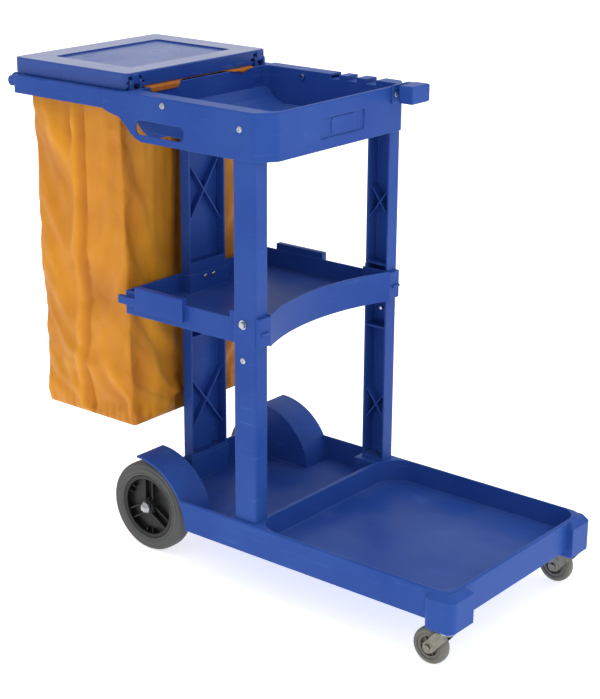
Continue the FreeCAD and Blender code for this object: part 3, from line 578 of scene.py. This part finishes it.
def makeScrews(nodeName):
    head, height, shank, length = screwKinds[nodeName]
    low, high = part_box(nodeName)
    middle = (low + high) / 2
    shape = bmesh.new()
    if nodeName in ("column_screws", "hook_screws", "handle_screws"):
        rows = {low.y + head, high.y - head}
        if nodeName == "handle_screws":
            rows.add(middle.y)
        for y in sorted(rows):
            addSocketScrew(shape, (high.x - height, y, middle.z), (1, 0, 0), head, height, shank, length)
    else:
        for sign in (-1, 1):
            start = Vector((middle.x, sign * (high.y - height), middle.z))
            if nodeName == "shelf_bolts":
                addHexBolt(shape, start, (0, sign, 0), head, height, shank, length)
                continue
            addSocketScrew(shape, start, (0, sign, 0), head, height, shank, length)
            if nodeName == "frame_bolts":       # round nut on the inside of the tray
                inside = bmesh.new()
                bmesh.ops.create_cone(inside, cap_ends=True, segments=36, radius1=head, radius2=head,
                                      depth=nut["height"])
                rims = [edge for edge in inside.edges
                        if abs(edge.verts[0].co.z - edge.verts[1].co.z) < 0.0001]
                roundEdges(inside, rims, nut["edge"])
                nutPlace = start - Vector((0, sign * nut["fromHead"], 0))
                bmesh.ops.transform(inside, matrix=turnTowards(nutPlace, (0, sign, 0)), verts=inside.verts)
                mergeInto(shape, inside)
    finish = "zincPlate" if nodeName == "handle_screws" else "chrome"
    piece = finishPiece("fitted_" + nodeName, shape, finish, "cart", 30)
    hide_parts(nodeName)


for side in ("left", "right"):
    makeRearTyre(side)
    makeRearHub(side)
    makeCasterWheel(side)
print("wheels made")
for nodeName in screwKinds:
    makeScrews(nodeName)
print("screws made")


bagMake = {
    "cell": 0.0112,             # size of the cloth's squares before they are halved
    "corner": 0.007,            # radius of its four upright corners
    "topInset": (0.012, 0.0275, 0.008),     # rear, front and side: from the hem's edge in to the hanging wall
    "footInset": (0.017, 0.018, 0.020),     # the same, at the bottom
    "frames": 30,
    "pressedFirst": 0.75,       # share of the creases pressed in before it hangs, and after
    "pressedAfter": 0.65,
    "gathers": 0.0030,          # depth of the small gathers along the bottom seam
    "slack": 0.010,             # how much wider the cloth is cut than the ring
    "pressure": 0.10,
    "thickness": 0.0008,
    "paintedShadeDepth": 0.022,        # height of a fold from the darkest painted shade to the lightest painted highlight
    "seamBand": 0.003,          # height above the bottom seam that is held while it hangs
    "columnGap": 0.004,         # room kept to the rear column
    "turnDown": 0.0011,         # how far the hem's outer edge is turned down over the ring
    "cornerHold": 0.85,         # how firmly the sewn upright corners keep their line
    "swing": 0.022,             # how far the hanging may carry any point
    "lapHalf": 0.168,           # half width of the spare cloth between the lid's hinge lugs
    "lapReach": 0.041,          # how far it reaches forward over the tray's rear wall
    "lapFolds": ((0.12, 0.17, 1.1), (0.86, 0.13, 0.62)),    # middle, width and size of its two tongues
    "hemToBin": 0.023,          # from the hem's front edge to the inner face of that wall
    "flat": (1.37, 0.92),
    "area": 1.12,
}
# creases in the side walls: from (along, down) to (along, down), half width, rise
sideCreases = [
    ((0.470, 0.00), (0.455, 1.00), 0.060, 0.0075),
    ((0.530, 0.00), (0.520, 1.00), 0.050, -0.0075),
    ((0.10, 0.04), (0.46, 0.27), 0.075, 0.0065),
    ((0.06, 0.16), (0.44, 0.34), 0.080, -0.0060),
    ((0.36, 0.02), (0.44, 0.20), 0.040, -0.0050),
    ((0.12, 0.52), (0.46, 0.66), 0.090, 0.0045),
    ((0.52, 0.60), (0.97, 0.66), 0.080, -0.0045),
    ((0.82, 0.02), (0.84, 0.40), 0.080, -0.0045),
    ((0.70, 0.80), (0.97, 0.98), 0.045, 0.0060),
    ((0.62, 0.82), (0.90, 0.99), 0.045, -0.0045),
    ((0.20, 0.90), (0.03, 0.99), 0.060, 0.0050),
    ((0.30, 0.86), (0.48, 0.98), 0.040, 0.0050),
    ((0.97, 0.68), (0.90, 0.82), 0.050, 0.0040),
]
# the same in the front and rear walls, across from the right side
endCreases = [
    ((0.08, 0.00), (0.10, 1.00), 0.080, -0.0060),
    ((0.24, 0.00), (0.20, 1.00), 0.110, 0.0085),
    ((0.46, 0.02), (0.40, 0.98), 0.070, -0.0095),
    ((0.56, 0.00), (0.54, 1.00), 0.080, 0.0070),
    ((0.78, 0.00), (0.74, 1.00), 0.100, -0.0070),
    ((0.02, 0.86), (0.30, 0.99), 0.050, 0.0050),
    ((0.02, 0.50), (0.36, 0.62), 0.080, 0.0050),
]


def creaseHeight(creases, along, down):
    # a sharp ridge or valley along each line, fading towards its ends
    place = Vector((along, down))
    height = 0.0
    for start, end, width, rise in creases:
        start = Vector(start)
        reach = Vector(end) - start
        share = min(1.0, max(0.0, (place - start).dot(reach) / reach.length_squared))
        wander = 0.012 * noise.noise(Vector((along * 6.0, down * 9.0, rise * 900.0)))
        away = abs((place - start - reach * share).length + wander) / width
        fade = 1.0 if reach.length > 0.8 else 0.35 + 0.65 * math.sin(math.pi * share)
        height += rise * fade * max(0.0, 1.0 - away)
    return height


def bagMouth():
    # the ring of cloth where the walls turn out over the bag frame
    low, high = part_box("bag")
    rear, front, flank = bagMake["topInset"]
    return low.x + rear, high.x - front, high.y - flank


def makeBagShell():
    make = bagMake
    low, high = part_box("bag")
    topRear, topFront, topHalf = bagMouth()
    rear, front, flank = make["footInset"]
    footRear, footFront, footHalf = low.x + rear, high.x - front, high.y - flank
    rim = high.z - make["thickness"]
    shape = bmesh.new()
    bmesh.ops.create_cube(shape, size=1.0)
    bmesh.ops.translate(shape, verts=shape.verts, vec=(0.5, 0.0, 0.5))
    bmesh.ops.scale(shape, verts=shape.verts, vec=(topFront - topRear, topHalf * 2, rim - low.z))
    bmesh.ops.translate(shape, verts=shape.verts, vec=(topRear, 0, low.z))
    bmesh.ops.delete(shape, geom=[face for face in shape.faces if face.normal.z > 0.5], context="FACES")
    upright = [edge for edge in shape.edges if abs(edge.verts[0].co.z - edge.verts[1].co.z) > 0.1]
    roundEdges(shape, upright, make["corner"])
    for axis, start, end in ((0, topRear, topFront), (1, -topHalf, topHalf), (2, low.z, rim)):
        inset = make["corner"] if axis < 2 else 0.0
        count = int((end - start) / make["cell"])
        normal = Vector([1.0 if place == axis else 0.0 for place in range(3)])
        for step in range(count + 1):
            reach = start + inset + (end - start - 2 * inset) * step / count
            bmesh.ops.bisect_plane(shape, geom=shape.verts[:] + shape.edges[:] + shape.faces[:], dist=weldGap,
                                   plane_co=normal * reach, plane_no=normal)
    for corner in shape.verts:
        down = (rim - corner.co.z) / (rim - low.z)
        along = (corner.co.x - topRear) / (topFront - topRear)
        left = topRear + (footRear - topRear) * down
        right = topFront + (footFront - topFront) * down
        corner.co.x = left + (right - left) * along
        corner.co.y *= 1 + (footHalf / topHalf - 1) * down
    return shape


def pressCreases(shape, strength):
    # the pleat in each side, the folds it was packed with and the small gathers along its bottom seam, with
    # the painted shade and highlight of each fold
    shade = shape.verts.layers.float.get("paintedFoldShade") or shape.verts.layers.float.new("paintedFoldShade")
    low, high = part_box("bag")
    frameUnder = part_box("bag_frame")[0].z + 0.004
    shape.normal_update()
    moves = {}
    for corner in shape.verts:
        place = corner.co
        along = (place.x - low.x) / (high.x - low.x)
        across = (place.y - low.y) / (high.y - low.y)
        down = (high.z - place.z) / (high.z - low.z)
        sides = creaseHeight(sideCreases, along, down) if abs(corner.normal.y) > 0.3 else 0.0
        ends = creaseHeight(endCreases, across, down) if abs(corner.normal.x) > 0.3 else 0.0
        ruffle = noise.noise(place * 9.0) * 0.004 + abs(noise.noise(place * 17.0 + Vector((3, 1, 7)))) * 0.004
        nearSeam = max(0.0, 1.0 - (1.0 - down) / 0.075)
        gathers = bagMake["gathers"] * nearSeam * math.sin((along + across) * 95.0)
        depth = sides * abs(corner.normal.y) + ends * abs(corner.normal.x) + ruffle + gathers
        below = min(1.0, max(0.0, (frameUnder - place.z) / 0.04))
        above = min(1.0, max(0.0, (place.z - low.z - 0.002) / 0.012))
        # painted shade and highlight: each fold's depth sets how dark its hollow and how light its ridge are
        # painted
        corner[shade] = min(1.0, max(0.0, 0.5 + depth / bagMake["paintedShadeDepth"]))
        moves[corner] = corner.normal * depth * below * above * strength
    for corner, move in moves.items():
        corner.co += move


def hangCloth(shape, pinned, sewn):
    # lets the shell sag under its own weight, and gives back where each point ends up
    make = bagMake
    mesh = bpy.data.meshes.new("bagCloth")
    shape.to_mesh(mesh)
    piece = bpy.data.objects.new("bagCloth", mesh)
    scene = bpy.context.scene
    scene.collection.objects.link(piece)
    group = piece.vertex_groups.new(name="hem")
    group.add(sewn, make["cornerHold"], "REPLACE")
    group.add(pinned, 1.0, "REPLACE")
    cloth = piece.modifiers.new("hang", "CLOTH")
    settings = cloth.settings
    settings.quality = 7
    settings.mass = 0.28
    settings.air_damping = 2.0
    settings.tension_stiffness = 30
    settings.compression_stiffness = 30
    settings.shear_stiffness = 12
    settings.bending_stiffness = 0.7
    settings.shrink_min = -make["slack"]
    settings.use_pressure = True
    settings.uniform_pressure_force = make["pressure"]
    settings.vertex_group_mass = "hem"
    cloth.collision_settings.use_collision = False
    cloth.collision_settings.use_self_collision = False
    scene.frame_start = 1
    scene.frame_end = make["frames"]
    cloth.point_cache.frame_start = 1
    cloth.point_cache.frame_end = make["frames"]
    for step in range(1, make["frames"] + 1):
        scene.frame_set(step)
    hung = piece.evaluated_get(bpy.context.evaluated_depsgraph_get())
    places = [vertex.co.copy() for vertex in hung.data.vertices]
    scene.frame_set(1)
    bpy.data.objects.remove(piece)
    bpy.data.meshes.remove(mesh)
    return places


def turnHem(shape):
    # the top edge is laid out over the ring and turned down a little
    make = bagMake
    low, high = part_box("bag")
    mouth = bagMouth()
    outer = (low.x + 0.001, high.x, high.y - 0.0005)
    edges = [edge for edge in shape.edges if edge.is_boundary]
    rear, front, half = mouth
    for share, drop in ((0.35, 0.0), (0.75, 0.0), (1.0, 0.0), (1.0, 1.0)):
        made = bmesh.ops.extrude_edge_only(shape, edges=edges)["geom"]
        edges = [item for item in made if isinstance(item, bmesh.types.BMEdge) and item.is_boundary]
        newRear, newFront, newHalf = [start + (end - start) * share for start, end in zip(mouth, outer)]
        for corner in [item for item in made if isinstance(item, bmesh.types.BMVert)]:
            corner.co.x = newRear + (newFront - newRear) * (corner.co.x - rear) / (front - rear)
            corner.co.y *= newHalf / half
            corner.co.z -= drop * make["turnDown"]
        rear, front, half = newRear, newFront, newHalf


def makeBagLap():
    # spare cloth that slips out under the lid's front edge and falls over the tray's rear wall
    make = bagMake
    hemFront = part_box("bag")[1].x
    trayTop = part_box("top_tray")[1].z
    wallFront = hemFront + make["hemToBin"]
    steps = [(hemFront - 0.004, trayTop + 0.0004), (hemFront + 0.008, trayTop + 0.0011),
             (wallFront - 0.002, trayTop + 0.0013), (wallFront + 0.0024, trayTop + 0.0004),
             (wallFront + 0.0030, trayTop - 0.020)]
    path = [Vector((x, 0, z)) for x, z in steps]
    shape = bmesh.new()
    bmesh.ops.create_grid(shape, x_segments=16, y_segments=60, size=0.5)
    for corner in shape.verts:
        across = corner.co.y + 0.5
        spare = 0.24 + 0.05 * math.sin(across * 60)
        for middle, width, most in make["lapFolds"]:
            spare += most * math.exp(-((across - middle) / width) ** 4)
        spare = min(1.0, spare) * min(1.0, (0.502 - abs(across - 0.5)) / 0.02)
        left = (corner.co.x + 0.5) * spare * make["lapReach"]
        for start, end in zip(path, path[1:]):
            reach = (end - start).length
            if left <= reach or end == path[-1]:
                corner.co = start + (end - start) * min(1.0, left / reach)
                break
            left -= reach
        corner.co.y = (across - 0.5) * 2 * make["lapHalf"]
    shape.normal_update()
    if sum(face.normal.z for face in shape.faces) < 0:
        bmesh.ops.reverse_faces(shape, faces=shape.faces)
    nameClothSides(shape)
    piece = finishPiece("bag_lap", shape, "bagVinyl", "cart", 180)
    wall = piece.modifiers.new("wall", "SOLIDIFY")
    wall.thickness = make["thickness"]
    wall.offset = -1.0
    return piece


def nameClothSides(shape):
    # the weave follows the cloth: metres along each wall
    sheetMap = shape.loops.layers.uv.new("clothMap")
    for face in shape.faces:
        normal = face.normal
        for loop in face.loops:
            place = loop.vert.co
            if abs(normal.z) > 0.8:
                loop[sheetMap].uv = (place.x, place.y)
            elif abs(normal.y) > abs(normal.x):
                loop[sheetMap].uv = (place.x, place.z)
            else:
                loop[sheetMap].uv = (place.y, place.z)


def makeBag():
    make = bagMake
    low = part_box("bag")[0]
    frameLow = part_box("bag_frame")[0]
    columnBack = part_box("rear_column")[0].x
    shape = makeBagShell()
    pressCreases(shape, make["pressedFirst"])
    corners = list(shape.verts)
    pinned = [place for place, corner in enumerate(corners)
              if corner.co.z > frameLow.z - 0.004 or corner.co.z < low.z + make["seamBand"]]
    sewn = [place for place, corner in enumerate(corners)
            if abs(corner.normal.x) > 0.15 and abs(corner.normal.y) > 0.15]
    for corner, place in zip(corners, hangCloth(shape, pinned, sewn)):
        move = place - corner.co
        if move.length > make["swing"]:
            move *= make["swing"] / move.length
        corner.co += move
    bmesh.ops.subdivide_edges(shape, edges=shape.edges[:], cuts=1, use_grid_fill=True)
    between = [corner for corner in shape.verts if low.z + make["seamBand"] < corner.co.z < frameLow.z]
    bmesh.ops.smooth_vert(shape, verts=between, factor=0.5, use_axis_x=True, use_axis_y=True, use_axis_z=True)
    pressCreases(shape, make["pressedAfter"])
    for corner in shape.verts:
        corner.co.x = min(corner.co.x, columnBack - make["columnGap"])
        corner.co.z = max(corner.co.z, low.z)
    turnHem(shape)
    shape.normal_update()
    nameClothSides(shape)
    piece = finishPiece("hanging_bag", shape, "bagVinyl", "cart", 180)
    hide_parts("bag")
    wall = piece.modifiers.new("wall", "SOLIDIFY")
    wall.thickness = make["thickness"]
    wall.offset = -1.0
    makeBagLap()


makeBag()
print("bag hung")


viewPoint = {"place": (2.1863, -2.6833, 1.6346), "forward": (-0.59403, 0.73704, -0.32235), "roll": 0.37,
             "lens": 89.09}
lamps = {
    "fill": {"place": (1.6, -3.4, 2.3), "size": 2.4, "power": 4},
    "top": {"place": (0.3, -0.2, 3.8), "size": 3.0, "power": 33},
    "front": {"place": (3.6, 0.6, 0.9), "size": 2.6, "power": 17},
    "gloss": {"place": (-2.9, 3.2, 2.5), "size": 3.4, "power": 5},     # only seen in polished surfaces
}
studio = {"fill": 0.78, "behind": 1.0, "floorGlow": 0.66}


def makeStage():
    shape = bmesh.new()
    bmesh.ops.create_grid(shape, x_segments=1, y_segments=1, size=14.0)
    mesh = bpy.data.meshes.new("floor")
    shape.to_mesh(mesh)
    shape.free()
    floor = bpy.data.objects.new("floor", mesh)
    bpy.context.scene.collection.objects.link(floor)
    material = bpy.data.materials.new("paleFloor")
    material.use_nodes = True
    shader = material.node_tree.nodes["Principled BSDF"]
    shader.inputs["Base Color"].default_value = (0.92, 0.92, 0.92, 1)
    shader.inputs["Roughness"].default_value = 0.8
    shader.inputs["Emission Color"].default_value = (1.0, 1.0, 1.0, 1)
    shader.inputs["Emission Strength"].default_value = studio["floorGlow"]
    mesh.materials.append(material)
    world = bpy.data.worlds.new("studio")
    world.use_nodes = True
    world.node_tree.nodes["Background"].inputs["Color"].default_value = (1.0, 1.0, 1.0, 1)
    seen = world.node_tree.nodes.new("ShaderNodeLightPath").outputs["Is Camera Ray"]
    extra = studio["behind"] - studio["fill"]
    strength = calculate(world.node_tree, "MULTIPLY_ADD", seen, extra, studio["fill"])
    world.node_tree.links.new(strength, world.node_tree.nodes["Background"].inputs["Strength"])
    bpy.context.scene.world = world


def makeLamps():
    for name, lamp in lamps.items():
        data = bpy.data.lights.new(name, "AREA")
        data.size = lamp["size"]
        data.energy = lamp["power"]
        light = bpy.data.objects.new(name, data)
        light.location = lamp["place"]
        aim = Vector((0, 0, 0.5)) - light.location
        light.rotation_euler = aim.to_track_quat("-Z", "Y").to_euler()
        bpy.context.scene.collection.objects.link(light)
        light.visible_camera = False
        light.visible_diffuse = name != "gloss"


def makeCamera():
    data = bpy.data.cameras.new("camera")
    data.lens = viewPoint["lens"]
    data.sensor_width = 36.0
    data.clip_end = 60.0
    camera = bpy.data.objects.new("camera", data)
    forward = Vector(viewPoint["forward"]).normalized()
    right = forward.cross(Vector((0, 0, 1))).normalized()
    up = right.cross(forward)
    roll = math.radians(viewPoint["roll"])
    right, up = right * math.cos(roll) + up * math.sin(roll), up * math.cos(roll) - right * math.sin(roll)
    turn = Matrix((right, up, -forward)).transposed()
    camera.matrix_world = Matrix.Translation(viewPoint["place"]) @ turn.to_4x4()
    bpy.context.scene.collection.objects.link(camera)
    bpy.context.scene.camera = camera


makeStage()
makeLamps()
makeCamera()
bpy.context.scene.view_settings.view_transform = "Standard"
print("stage, light and camera set")

bpy.context.view_layer.update()
